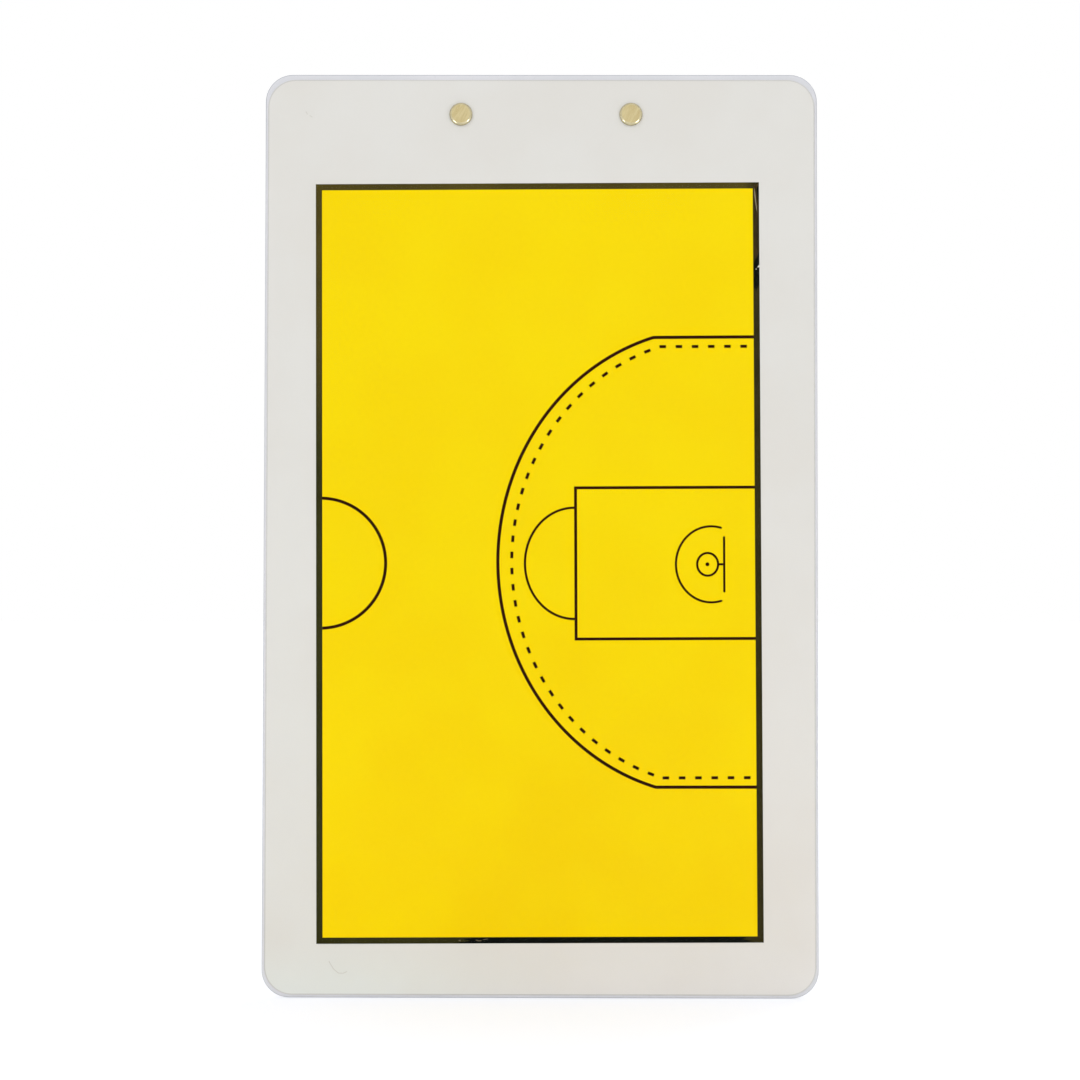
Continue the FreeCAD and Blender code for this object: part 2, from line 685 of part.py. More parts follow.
def make_spring():
    """The torsion spring: a lower leg along the base plate, turns, and a leg under the lever."""
    wire = number("Sizes.spring_wire_diameter")
    radius = number(COIL_RADIUS) - wire / 2
    pitch = number("Sizes.spring_pitch")
    leg = number("Sizes.spring_leg_length")
    half_turn, full_turn = math.pi, 2 * math.pi
    bottom = -half_turn / 2
    tilt = math.radians(number("Sizes.rear_tilt"))
    sweep = full_turn * round(number("Sizes.spring_turns")) + half_turn - tilt
    length = pitch * sweep / full_turn

    def on_coil(turned):
        """The wire's place and direction after an angle of winding."""
        angle = bottom - turned
        along = pitch * turned / full_turn - length / 2
        spot = FreeCAD.Vector(along, radius * math.sin(angle), radius * math.cos(angle))
        way = FreeCAD.Vector(
            pitch / full_turn, -radius * math.cos(angle), radius * math.sin(angle)
        )
        return spot, way.normalize()

    segments = math.ceil(sweep / full_turn * SEGMENTS_PER_TURN)
    stops = [on_coil(sweep * index / segments) for index in range(segments + 1)]
    (first, first_way), (last, last_way) = stops[0], stops[-1]
    tip, end = first - first_way * leg, last + last_way * leg
    curves = [Part.LineSegment(tip, first)]
    for before, after in zip(stops, stops[1:]):
        curves += biarc(*before, *after)
    curves.append(Part.LineSegment(last, end))
    path = Part.Wire([curve.toShape() for curve in curves])
    section = Part.Wire(Part.makeCircle(wire / 2, tip, first_way))
    solid = path.makePipeShell([section], True, False)
    report_wire(path, wire, radius, solid)
    spring = doc.addObject("Part::Feature", "torsion_spring")
    spring.Label = "torsion_spring"
    spring.Shape = solid
    place(spring, "0", HINGE_Y, HINGE_Z)
    return spring


def report_wire(path, wire, radius, solid):
    """Prints the spring's least gap to itself, and its volume against its length."""
    points = []
    travelled = 0
    for edge in path.OrderedEdges:
        points += [(travelled, vertex) for vertex in edge.discretize(SEGMENTS_PER_TURN)]
        travelled += edge.Length
    apart = math.pi * radius
    gaps = []
    for index, (here, point) in enumerate(points):
        far = [other for there, other in points[index:] if there - here > apart]
        gaps += [point.distanceToPoint(other) - wire for other in far]
    swept = math.pi * wire * wire / 4 * path.Length
    print(f"torsion_spring: least gap to itself {min(gaps):.3f} mm")
    print(f"torsion_spring: volume {solid.Volume:.2f} of {swept:.2f} mm3 swept")


def check_and_write(pieces):
    """Stops on any failed object or shape, then writes each piece to its own file."""
    doc.recompute()
    for item in doc.Objects:
        if "Invalid" in item.State or "Error" in item.State:
            raise RuntimeError(f"{item.Name} failed: {item.State}")
    for piece in pieces:
        shape = piece.Shape
        if shape.isNull() or not shape.isValid() or len(shape.Solids) != 1:
            raise RuntimeError(f"{piece.Label} has no valid solid")
    os.makedirs("parts", exist_ok=True)
    for piece in pieces:
        piece.Shape.exportStep(f"parts/{piece.Label}.step")
        print(f"{piece.Label}: {piece.Shape.Volume:.2f} mm3")


pieces = make_board()
pieces += [make_rivet("rivet_left", "-"), make_rivet("rivet_right", "")]
pieces += [make_base_plate(), make_lever(), make_rod(), make_spring()]
check_and_write(pieces)
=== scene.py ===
import json
import math

import bmesh
import bpy
from mathutils import Euler, Matrix, Vector


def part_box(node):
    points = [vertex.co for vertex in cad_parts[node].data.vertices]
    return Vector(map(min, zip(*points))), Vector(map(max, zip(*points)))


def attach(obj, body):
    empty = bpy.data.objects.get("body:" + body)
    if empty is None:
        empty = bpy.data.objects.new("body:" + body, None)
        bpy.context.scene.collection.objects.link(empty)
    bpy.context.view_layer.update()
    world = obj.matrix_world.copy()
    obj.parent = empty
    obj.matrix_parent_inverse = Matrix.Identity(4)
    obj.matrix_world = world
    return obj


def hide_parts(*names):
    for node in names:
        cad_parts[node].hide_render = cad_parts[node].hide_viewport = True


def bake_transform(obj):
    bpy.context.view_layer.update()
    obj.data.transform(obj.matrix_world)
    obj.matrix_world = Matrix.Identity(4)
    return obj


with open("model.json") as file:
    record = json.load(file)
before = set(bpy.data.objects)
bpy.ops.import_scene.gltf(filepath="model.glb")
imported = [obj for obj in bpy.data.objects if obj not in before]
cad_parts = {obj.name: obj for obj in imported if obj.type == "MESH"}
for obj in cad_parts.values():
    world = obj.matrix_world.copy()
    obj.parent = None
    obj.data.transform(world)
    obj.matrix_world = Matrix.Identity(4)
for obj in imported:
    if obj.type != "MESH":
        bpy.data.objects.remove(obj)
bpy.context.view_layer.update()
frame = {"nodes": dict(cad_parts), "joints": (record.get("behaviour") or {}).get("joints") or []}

# Lengths are written in millimetres of the part's frame, and this turns them into metres
MM = 0.001
FULL_TURN = 2 * math.pi

# Camera: its place, its tilt in degrees, and its focal length in pixels of the square frame
FRAME_PIXELS = 1080
FOCAL_PIXELS = 2305.0
SENSOR_WIDTH = 36.0
CAMERA_PLACE = (2.83, -1014.1, -225.0)
CAMERA_TURN = (91.735, -0.084, 0.292)

# White room: its strength as light on the object, and where it is seen
SKY_LEVEL = 0.85
SKY_SEEN_LEVEL = 1.0

# Floor: half its width, the gap under the board, and its tone as it gives light and as it is seen
FLOOR_REACH = 30000
FLOOR_GAP = 0.2
FLOOR_ROUGHNESS = 0.9
FLOOR_TONE = 0.76
FLOOR_SEEN_TONE = 0.35
# Glow of the seen floor: its colour, and its strength at a near and a far distance from the board
FLOOR_GLOW = (0.93, 0.945, 1.0, 1.0)
FLOOR_GLOW_NEAR = (60, 0.69)
FLOOR_GLOW_FAR = (400, 0.80)

# Lamps as (name, place, target, width, watts): metal mirrors the rear one, and not the soft ones
REAR_LAMP = ("rear_lamp", (900, 1500, 1200), (0, 0, -150), 900, 13.0)
SOFT_LAMPS = [
    ("key_lamp", (-1100, -1700, 1300), (0, 0, -190), 1300, 9.5),
    ("fill_lamp", (1300, -1500, 700), (0, 0, -190), 1300, 4.0),
    ("low_left_lamp", (-560, -640, -330), (0, 0, -340), 400, 0.5),
    ("low_right_lamp", (560, -640, -330), (0, 0, -340), 400, 0.5),
]
# Small lamps that show only as glints on glossy surfaces
GLINT_LAMPS = [
    ("right_glint_lamp", (420, -340, -330), (37, 0, -10), 190, 1.1),
    ("left_glint_lamp", (-400, -380, -340), (-37, 0, -10), 155, 0.6),
]

# Materials: the range that most of a noise lies in, the scale of soft clouds, and the print's gloss
NOISE_LOW = 0.3
NOISE_HIGH = 0.7
CLOUD_SCALE = 22.0
PAPER_GLOSS = 0.08
YELLOW_GLOSS = 0.05
INK_GLOSS = 0.04
# Places of the colour sockets on a Mix node
MIX_INPUTS = (0, 6, 7)
MIX_RESULT = 2

# Points along a long arc, a dashed arc, a circle, a sheet's corner and a pen line's round end
ARC_POINTS = 96
DASH_ARC_POINTS = 360
CIRCLE_POINTS = 48
CORNER_POINTS = 12
CAP_POINTS = 8

# Ink layers: their heights above the sheet, all inside the film's thickness
GROUND_BOTTOM = 0.004
GROUND_TOP = 0.03
FIELD_TOP = 0.05
BORDER_TOP = 0.06
LINE_TOP = 0.07
TIGHT_FILM_TOP = 0.073
FLAW_TOP = 0.085
LAYER_THICKNESS = 0.02
# How much wider the yellow field is than its border's opening
FIELD_OVERLAP = 0.4
BORDER_WIDTH = 2.7

# Printed paper: the sheet's corner radius, how far the print stays inside it, and the rivets' holes
SHEET_CORNER = 12.0
SHEET_INSET = 0.03
RIVET_HOLE_RADIUS = 2.1
FILM_EDGE_WIDTH = 0.45

# Half-court print: its middle from the board's middle, its turn in degrees and its size
HALF_PRINT_SHIFT = (-0.85, -12.04)
HALF_PRINT_TURN = 0.29
HALF_PRINT_SIZE = (192.7, 329.0)

# Half-court lines in the print's own millimetres from its middle, to the right and up
THREE_POINT_ARC = dict(centre=(76.03, -0.31), across=93.66, up=101.24, start=106.0, end=254.0)
THREE_POINT_TOP = 97.08
THREE_POINT_BOTTOM = -97.73
CENTRE_ARC = dict(centre=(-94.36, -0.41), across=28.14, up=28.14, start=-88.55, end=88.55)
KEY_LEFT = 16.1
KEY_TOP = 31.8
KEY_BOTTOM = -33.65
FREE_THROW_ARC = dict(centre=(15.46, -0.9), across=21.36, up=24.07, start=90.0, end=270.0)
RESTRICTED_ARC = dict(centre=(74.71, -1.55), across=15.29, up=16.46, start=74.0, end=286.0)
HOOP = dict(centre=(73.14, -1.55), across=4.53, up=4.91)
HOOP_DOT = (73.04, -1.53)
HOOP_DOT_RADIUS = 0.85
HOOP_NECK = [(78.14, -1.55), (79.81, -1.55)]
BACKBOARD = [(80.3, -13.26), (80.3, 10.11)]
# Widths of these lines
THREE_POINT_LINE = 1.4
CENTRE_LINE = 1.35
KEY_LINE = 1.28
FREE_THROW_LINE = 1.03
RESTRICTED_LINE = 0.97
HOOP_LINE = 0.98

# Dashes inside the three-point line: two halves of an arc, and rows as (first dash, height)
DASH_PITCH = 7.02
DASH_LENGTH = 2.85
DASH_WIDTH = 1.32
DASH_ARC = dict(centre=(78.83, -0.34), across=90.44, up=97.39, start=180.19)
DASH_ARC_ENDS = (90.0, 270.0)
DASHES_PER_HALF_ARC = 17
DASH_ROWS = [(54.2, 93.0), (54.6, -93.65)]
DASHES_PER_ROW = 6

# Film flaws stay this far inside the border's edges, and so reach this deep
FLAW_MARGIN = 0.04
FLAW_DEPTH = BORDER_WIDTH - FLAW_MARGIN
# Where the film lies tight on the border's lower side and is painted near-black as shade, as (place,
# height over its outer edge)
TIGHT_BOTTOM = [
    (-38.0, FLAW_MARGIN), (88.0, FLAW_MARGIN), (91.5, 0.7), (87.0, 1.5),
    (90.0, FLAW_DEPTH), (-25.0, FLAW_DEPTH), (-33.0, 1.9), (-30.0, 1.1),
]
# Where it lies tight on the right side and is painted near-black as shade, as (depth in from its outer
# edge, height)
TIGHT_RIGHT = [
    (FLAW_MARGIN, 134.5), (1.1, 131.6), (2.0, 130.2), (FLAW_DEPTH, 129.0),
    (FLAW_DEPTH, 119.0), (1.4, 117.4), (FLAW_MARGIN, 120.0),
]
TIGHT_SLIVER = [(0.1, 163.0), (1.1, 162.0), (0.35, 154.0)]
# The crease in the film down the right side, given in the same way: its painted shade, painted sheen and
# painted glints
CREASE_SHADE = [(FLAW_MARGIN, 164.0), (2.5, 163.0), (2.5, 134.0), (1.4, 131.5), (FLAW_MARGIN, 134.0)]
CREASE_SHEEN = [(2.2, 162.6), (1.6, 160.0), (0.75, 151.0), (1.3, 153.5), (1.95, 158.5)]
CREASE_GLINT = [(-0.1, 128.4), (0.5, 128.1), (0.9, 127.4), (0.4, 127.3), (-0.1, 127.6)]
CREASE_DOT = (1.4, 126.6)
CREASE_DOT_RADIUS = 0.22
# Light flecks on the border's lower side, painted glints, as (path, width), and fine scratches, in print
# millimetres
FLECKS = [
    ([(-35.0, -163.3), (-34.2, -163.1)], 0.3),
    ([(-27.6, -163.0), (-26.6, -163.4), (-25.2, -163.3)], 0.24),
    ([(-24.4, -162.9), (-22.4, -162.5)], 0.22),
]
SCRATCHES = [
    [(-90.9, -172.0), (-89.0, -175.2), (-86.9, -177.0), (-84.8, -177.1), (-83.2, -176.4)],
    [(-100.6, 196.3), (-100.0, 195.2)],
    [(-98.9, 194.6), (-97.9, 193.9)],
]
SCRATCH_WIDTH = 0.28

# Full-court print on the clip's side: its heights on the board, and its lines' widths
FULL_PRINT_TOP = -58.0
FULL_PRINT_BOTTOM = -371.6
FULL_LINE = 1.2
FULL_FINE_LINE = 0.9
# A real court in metres, which gives the print its proportions
COURT_METRES = {
    "length": 28.0,
    "width": 15.0,
    "end_to_basket": 1.575,
    "end_to_backboard": 1.2,
    "side_to_three_point": 0.9,
    "three_point_radius": 6.75,
    "key_half_width": 2.45,
    "key_length": 5.8,
    "circle_radius": 1.8,
    "restricted_radius": 1.25,
    "backboard_half_width": 0.9,
    "hoop_radius": 0.225,
}

# Torsion spring on the rod
SPRING_WIRE = 1.5
SPRING_PITCH = 2.1
SPRING_TURNS = 8
SPRING_LEG = 9.5
SPRING_COIL_RADIUS = 3.1
SPRING_TILT = 20.0
SPRING_POINTS_PER_TURN = 36
SPRING_RING_POINTS = 16
SPRING_LEG_STEPS = 6
# Share of a step over which a leg's direction is taken from the coil
SPRING_AIM_SHARE = 0.1
# Rounded tip of the wire, as (way in from its end, radius), both in shares of the wire's radius
SPRING_TIP = [(0.0, 0.55), (0.12, 0.85), (0.3, 1.0)]

joint_place = Vector(frame["joints"][0]["pos_m"])
board_low, board_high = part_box("core_board")
board_middle = (board_low + board_high) / 2


def linear(red, green, blue):
    """A colour written as 0 to 255 sRGB screen values, as the linear values that a shader takes."""
    tones = []
    for value in (red, green, blue):
        share = value / 255
        tones.append(share / 12.92 if share <= 0.04045 else ((share + 0.055) / 1.055) ** 2.4)
    return (*tones, 1.0)


def grey(level):
    return (level, level, level, 1.0)


# Materials


def arithmetic(tree, operation, *values):
    """The result of a Math node that takes its values from other nodes."""
    node = tree.nodes.new("ShaderNodeMath")
    node.operation = operation
    for socket, value in zip(node.inputs, values):
        tree.links.new(value, socket)
    return node.outputs[0]


def ranged(tree, value, **ends):
    """A value moved from one range to another, whose ends are 0 and 1 where none is given."""
    node = tree.nodes.new("ShaderNodeMapRange")
    tree.links.new(value, node.inputs["Value"])
    for socket, end in ends.items():
        node.inputs[socket.replace("_", " ")].default_value = end
    return node.outputs["Result"]


def seen_rays(tree):
    """1 for what the camera, a reflection or clear film looks at, 0 for the light it gives."""
    path = tree.nodes.new("ShaderNodeLightPath")
    total = path.outputs["Is Camera Ray"]
    for name in ("Is Glossy Ray", "Is Transmission Ray"):
        total = arithmetic(tree, "MAXIMUM", total, path.outputs[name])
    return total


class Shading:
    """A material whose nodes are added one after the other."""

    def __init__(self, name, **sockets):
        self.material = bpy.data.materials.new(name)
        self.material.use_nodes = True
        self.tree = self.material.node_tree
        self.shader = self.tree.nodes["Principled BSDF"]
        self.coordinates = self.tree.nodes.new("ShaderNodeTexCoord")
        for socket, value in sockets.items():
            self.shader.inputs[socket.replace("_", " ")].default_value = value

    def add(self, kind, **inputs):
        node = self.tree.nodes.new(kind)
        for socket, value in inputs.items():
            self.feed(node.inputs[socket.replace("_", " ")], value)
        return node

    def feed(self, socket, value):
        if isinstance(value, bpy.types.NodeSocket):
            self.tree.links.new(value, socket)
        else:
            socket.default_value = value

    def noise(self, scale, detail=3.0, stretch=None, lean=0.0):
        """Noise over the part's own coordinates, stretched along some axes and leaning if asked."""
        place = self.coordinates.outputs["Object"]
        if lean:
            turn = (0.0, math.radians(lean), 0.0)
            place = self.add("ShaderNodeMapping", Vector=place, Rotation=turn).outputs["Vector"]
        if stretch:
            place = self.add("ShaderNodeMapping", Vector=place, Scale=stretch).outputs["Vector"]
        return self.add("ShaderNodeTexNoise", Vector=place, Scale=scale, Detail=detail).outputs["Fac"]

    def fade(self, factor, first, second, low=NOISE_LOW, high=NOISE_HIGH):
        """Runs smoothly from one value or colour to another as a factor goes from low to high."""
        node = self.add("ShaderNodeValToRGB", Fac=factor)
        ramp = node.color_ramp
        ramp.interpolation = "EASE"
        for element, position, value in zip(ramp.elements, (low, high), (first, second)):
            element.position = position
            element.color = value if isinstance(value, tuple) else grey(value)
        return node.outputs["Color"]

    def mix(self, factor, first, second):
        node = self.tree.nodes.new("ShaderNodeMix")
        node.data_type = "RGBA"
        for index, value in zip(MIX_INPUTS, (factor, first, second)):
            self.feed(node.inputs[index], value)
        return node.outputs[MIX_RESULT]

    def along(self, axis, start, end):
        """0 at one place along an axis of the part and 1 at another."""
        parts = self.add("ShaderNodeSeparateXYZ", Vector=self.coordinates.outputs["Object"])
        return ranged(self.tree, parts.outputs[axis], From_Min=start * MM, From_Max=end * MM)

    def facing(self, axis):
        """1 where the surface looks straight along an axis of the part, 0 where it lies along it."""
        parts = self.add("ShaderNodeSeparateXYZ", Vector=self.coordinates.outputs["Normal"])
        return arithmetic(self.tree, "ABSOLUTE", parts.outputs[axis])

    def bump(self, height, strength, distance):
        node = self.add("ShaderNodeBump", Height=height, Strength=strength, Distance=distance * MM)
        self.feed(self.shader.inputs["Normal"], node.outputs["Normal"])

    def colour(self, value):
        self.feed(self.shader.inputs["Base Color"], value)

    def roughness(self, value):
        self.feed(self.shader.inputs["Roughness"], value)


def print_shading(name, gloss):
    """Paper or ink under the film: the film's gloss and its faint ripple."""
    look = Shading(name, Specular_IOR_Level=gloss)
    look.roughness(look.fade(look.noise(scale=60.0), 0.14, 0.22))
    look.bump(look.noise(scale=350.0, detail=1.0), strength=0.04, distance=0.05)
    return look


def cloudy_print(name, first, second, gloss):
    """A print of two close tones in soft clouds."""
    look = print_shading(name, gloss)
    look.colour(look.fade(look.noise(CLOUD_SCALE), first, second))
    return look.material


def paper_material():
    """Off-white paper, a little warmer towards the bottom right and cooler along its foot, and lighter
    towards the bottom as painted light.
    """
    look = print_shading("paper_white", PAPER_GLOSS)
    clouds = look.noise(CLOUD_SCALE)
    top = look.fade(clouds, linear(225, 224, 220), linear(223, 221, 216))
    left = look.fade(clouds, linear(228, 227, 222), linear(226, 224, 218))
    right = look.fade(clouds, linear(228, 225, 220), linear(226, 222, 216))
    foot_left = look.fade(clouds, linear(229, 231, 226), linear(227, 228, 222))
    foot_right = look.fade(clouds, linear(230, 227, 223), linear(228, 224, 219))
    to_right = look.along("X", start=-80.0, end=20.0)
    foot = look.mix(to_right, foot_left, foot_right)
    above_foot = look.mix(to_right, left, right)
    bottom = look.mix(look.along("Z", start=-384.0, end=-368.0), foot, above_foot)
    # Painted light: the lower tones are a little lighter than the top one
    look.colour(look.mix(look.along("Z", start=-360.0, end=-120.0), bottom, top))
    return look.material


def yellow_material():
    """Yellow ink, a little deeper towards the bottom right."""
    look = print_shading("court_yellow", YELLOW_GLOSS)
    clouds = look.noise(CLOUD_SCALE)
    top = look.fade(clouds, linear(249, 219, 1), linear(248, 215, 1))
    left = look.fade(clouds, linear(255, 221, 1), linear(253, 215, 1))
    right = look.fade(clouds, linear(252, 217, 1), linear(250, 211, 1))
    bottom = look.mix(look.along("X", start=-80.0, end=0.0), left, right)
    look.colour(look.mix(look.along("Z", start=-350.0, end=-200.0), bottom, top))
    return look.material


def border_material():
    """Black ink over the yellow, greyer towards the top left as a painted reflection in the film, and
    browner down the right side.
    """
    look = print_shading("border_ink", INK_GLOSS)
    clouds = look.noise(scale=40.0)
    top = look.fade(clouds, linear(79, 69, 26), linear(70, 61, 22))
    bottom = look.fade(clouds, linear(53, 52, 20), linear(46, 44, 15))
    # Painted reflection: the upper tone is greyer, as if the film mirrors the bright room there
    upright = look.mix(look.along("Z", start=-156.0, end=-116.0), bottom, top)
    right = look.fade(look.noise(scale=90.0), linear(52, 46, 20), linear(45, 40, 15))
    look.colour(look.mix(look.along("X", start=86.0, end=90.5), upright, right))
    return look.material


def line_material():
    """Black ink of the lines on the yellow field."""
    return cloudy_print("line_ink", linear(47, 13, 0), linear(40, 11, 0), INK_GLOSS)


def dimple_shade_material():
    """Near-black painted shade where the film lies tight in dimples and mirrors nothing bright."""
    return cloudy_print("painted_dimple_shade", linear(8, 13, 5), linear(5, 9, 4), INK_GLOSS)


def crease_shade_material():
    """Browner, darker tone beside a crease in the film, painted as the crease's shade."""
    look = print_shading("crease_shade", INK_GLOSS)
    streaks = look.noise(scale=420.0, stretch=(1.0, 1.0, 0.08))
    look.colour(look.fade(streaks, linear(62, 48, 22), linear(34, 27, 12), low=0.35, high=0.65))
    return look.material


def glint_material():
    """Bright spots where a crease in the film catches the light."""
    return cloudy_print("film_glint", linear(236, 233, 226), linear(214, 211, 202), gloss=0.4)


def film_sheen_material():
    """A lighter streak where the film is lifted in a crease, painted as its reflection, and the light
    flecks, painted as glints.
    """
    return cloudy_print("painted_film_sheen", linear(150, 138, 112), linear(122, 110, 84), gloss=0.3)


def film_edge_shade_material():
    """A band along the film's cut edge, painted a little darker than the paper as the edge's shade."""
    return cloudy_print("film_edge_shade", linear(212, 211, 208), linear(206, 205, 202), gloss=0.2)


def scratch_material():
    """Fine scratches in the film."""
    return cloudy_print("film_scratch", linear(212, 210, 202), linear(205, 203, 195), PAPER_GLOSS)


def core_material():
    """Satin white plastic, cooler than the paper, with fine scuffs, and its rounded edges painted darker
    as shade.
    """
    look = Shading("core_plastic", Specular_IOR_Level=0.35)
    clouds = look.fade(look.noise(scale=30.0), linear(218, 218, 223), linear(212, 213, 218))
    scuffs = look.fade(look.noise(scale=900.0, detail=4.0), 0.0, 0.35, low=0.6, high=0.75)
    flat = look.mix(scuffs, clouds, linear(197, 197, 203))
    # Painted shade: where the rounded edges tilt part way they are darker than the face and side walls,
    # darkest near the top
    level = look.facing("Y")
    low_edge_shade = look.fade(level, linear(210, 211, 215), linear(190, 193, 198), low=0.1, high=0.4)
    top_edge_shade = look.fade(level, linear(194, 196, 202), linear(166, 170, 178), low=0.1, high=0.4)
    edge = look.mix(look.along("Z", start=-30.0, end=0.0), low_edge_shade, top_edge_shade)
    look.colour(look.mix(look.fade(level, 0.0, 1.0, low=0.88, high=0.995), edge, flat))
    look.roughness(look.fade(look.noise(scale=500.0), 0.34, 0.5))
    look.bump(look.noise(scale=1500.0), strength=0.1, distance=0.03)
    return look.material


def film_material():
    """Clear film: almost nothing but its faint veil and wipe marks."""
    look = Shading("clear_film", Alpha=0.02, Specular_IOR_Level=0.5)
    wiped = look.noise(scale=18.0, detail=4.0, stretch=(1.0, 1.0, 6.0))
    look.colour(look.fade(wiped, linear(74, 76, 78), linear(54, 55, 56)))
    look.roughness(look.fade(wiped, 0.06, 0.14))
    return look.material


def sheet_material():
    """The sheet's own paper, which shows at its edge."""
    look = Shading("sheet_edge", Specular_IOR_Level=0.3)
    look.colour(look.fade(look.noise(scale=200.0), linear(226, 224, 219), linear(218, 216, 211)))
    look.roughness(look.fade(look.noise(scale=400.0), 0.4, 0.55))
    return look.material


def metal_material(name, bright, dull, smooth, rough, streaks, grain=0.06, wear=0.7):
    """Metal with fine streaks along one way and duller, rougher patches where it is handled."""
    look = Shading(name, Metallic=1.0)
    fine = look.noise(scale=420.0, detail=4.0, stretch=streaks)
    worn = look.noise(scale=70.0, detail=5.0)
    tone = look.mix(look.fade(worn, 0.0, wear, low=0.45, high=0.75), bright, dull)
    look.colour(look.mix(look.fade(fine, 0.0, 0.25, low=0.35, high=0.65), tone, dull))
    handled = look.fade(worn, 0.0, 1.0, low=0.4, high=0.8)
    look.roughness(look.mix(handled, grey(smooth), grey(rough)))
    look.bump(fine, strength=grain, distance=0.02)
    return look.material


def brass_material():
    """Pale brass whose rounded rim is painted greyer, as the reflection of a darker room."""
    look = Shading("pale_brass", Metallic=1.0)
    streaks = look.noise(scale=800.0, stretch=(1.0, 1.0, 0.2), lean=-28.0)
    flat = look.fade(streaks, linear(214, 199, 152), linear(204, 187, 138), low=0.35, high=0.65)
    # Painted reflection: the tilted rim gets a greyer tone than the flat top
    painted_rim_reflection = look.fade(look.noise(scale=700.0), linear(206, 196, 160), linear(188, 178, 144))
    level = look.fade(look.facing("Y"), 0.0, 1.0, low=0.93, high=0.995)
    look.colour(look.mix(level, painted_rim_reflection, flat))
    look.roughness(look.mix(level, grey(0.2), look.fade(streaks, 0.16, 0.28)))
    look.bump(streaks, strength=0.08, distance=0.02)
    return look.material


def plate_material():
    """Bright nickel plate of the clip's pressed sheets."""
    bright, dull = linear(193, 192, 188), linear(172, 170, 165)
    along_clip = (0.12, 1.0, 1.0)
    return metal_material(
        "nickel_plate", bright, dull, smooth=0.12, rough=0.18, streaks=along_clip, grain=0.02, wear=0.2
    )


def rod_material():
    """Drawn steel of the hinge rod."""
    bright, dull = linear(176, 176, 175), linear(140, 139, 137)
    along_rod = (0.06, 1.0, 1.0)
    return metal_material("drawn_rod", bright, dull, smooth=0.26, rough=0.42, streaks=along_rod)


def spring_material():
    """Darker drawn wire of the spring."""
    bright, dull = linear(132, 132, 135), linear(92, 91, 92)
    all_ways = (1.0, 1.0, 1.0)
    return metal_material("spring_wire", bright, dull, smooth=0.24, rough=0.4, streaks=all_ways)


# Flat print shapes, as outlines in the print's own millimetres: u to the right, v up


def ellipse_arc(centre, across, up, start, end, points=ARC_POINTS):
    """Points along an ellipse, from one angle to another in degrees."""
    stops = [math.radians(start + (end - start) * i / points) for i in range(points + 1)]
    return [(centre[0] + across * math.cos(a), centre[1] + up * math.sin(a)) for a in stops]


def ellipse(centre, across, up):
    return ellipse_arc(centre, across, up, 0, 360, CIRCLE_POINTS)[:-1]


def circle(centre, radius):
    return ellipse(centre, radius, radius)


def ring_line(centre, across, up, width):
    """The outer and the inner outline of a pen line round an ellipse."""
    return [ellipse(centre, across + half, up + half) for half in (width / 2, -width / 2)]


def rectangle(width, height):
    return [(x * width / 2, y * height / 2) for x, y in ((-1, -1), (1, -1), (1, 1), (-1, 1))]


def rounded_rectangle(width, height, radius):
    """A rectangle about the origin with round corners."""
    loop = []
    for quarter, (x, y) in enumerate(((1, 1), (-1, 1), (-1, -1), (1, -1))):
        centre = (x * (width / 2 - radius), y * (height / 2 - radius))
        start = quarter * 90
        loop += ellipse_arc(centre, radius, radius, start, start + 90, CORNER_POINTS)
    return loop


def sheet_outline(width, height, inset):
    """The sheet's outline, drawn in by the same amount all round."""
    return rounded_rectangle(width - 2 * inset, height - 2 * inset, SHEET_CORNER - inset)


def stroke(path, width, round_ends=False):
    """The outline of a pen line of one width along an open path, its corners mitred."""
    spots = [Vector(point) for point in path]
    ways = [(b - a).normalized() for a, b in zip(spots, spots[1:])]
    left, right = [], []
    for index, spot in enumerate(spots):
        before = ways[max(index - 1, 0)]
        after = ways[min(index, len(ways) - 1)]
        normal = Vector((-before.y - after.y, before.x + after.x)).normalized()
        reach = width / 2 / normal.dot(Vector((-after.y, after.x)))
        left.append(spot + normal * reach)
        right.append(spot - normal * reach)
    right.reverse()
    if not round_ends:
        return left + right
    return left + end_cap(spots[-1], ways[-1], width) + right + end_cap(spots[0], -ways[0], width)


def end_cap(spot, way, width):
    """The inner points of a half circle round the end of a pen line."""
    side = Vector((-way.y, way.x))
    angles = [math.pi * (i + 1) / (CAP_POINTS + 1) for i in range(CAP_POINTS)]
    return [spot + (side * math.cos(a) + way * math.sin(a)) * width / 2 for a in angles]


def spots_along(path, pitch, count):
    """Places half a pitch and then whole pitches along a path, each with the path's direction."""
    spots = []
    travelled = 0.0
    for start, end in zip(map(Vector, path), map(Vector, path[1:])):
        run = (end - start).length
        while len(spots) < count and pitch * (len(spots) + 0.5) < travelled + run:
            share = (pitch * (len(spots) + 0.5) - travelled) / run
            spots.append((start.lerp(end, share), (end - start).normalized()))
        travelled += run
    return spots


# Printed faces of the board


def add_piece(name, data, material):
    """A new piece of the object, with its material."""
    piece = bpy.data.objects.new(name, data)
    bpy.context.scene.collection.objects.link(piece)
    data.materials.append(material)
    return piece


def add_plate(mesh, loops, bottom, top):
    """Adds a flat plate with the given outline and holes to a mesh under construction."""
    edges = []
    for loop in loops:
        verts = [mesh.verts.new((u * MM, v * MM, bottom * MM)) for u, v in loop]
        edges += [mesh.edges.new(pair) for pair in zip(verts, verts[1:] + verts[:1])]
    filled = bmesh.ops.triangle_fill(mesh, edges=edges, use_beauty=True)
    faces = [item for item in filled["geom"] if isinstance(item, bmesh.types.BMFace)]
    raised = bmesh.ops.extrude_face_region(mesh, geom=faces, use_keep_orig=True)
    tops = [item for item in raised["geom"] if isinstance(item, bmesh.types.BMVert)]
    bmesh.ops.translate(mesh, verts=tops, vec=(0, 0, (top - bottom) * MM))


def put_in_order(mesh):
    """Lists a mesh's faces by their places, so that the list is the same each time."""
    in_order = sorted(mesh.faces, key=lambda face: tuple(face.calc_center_median()))
    for index, face in enumerate(in_order):
        face.index = index
    mesh.faces.sort()


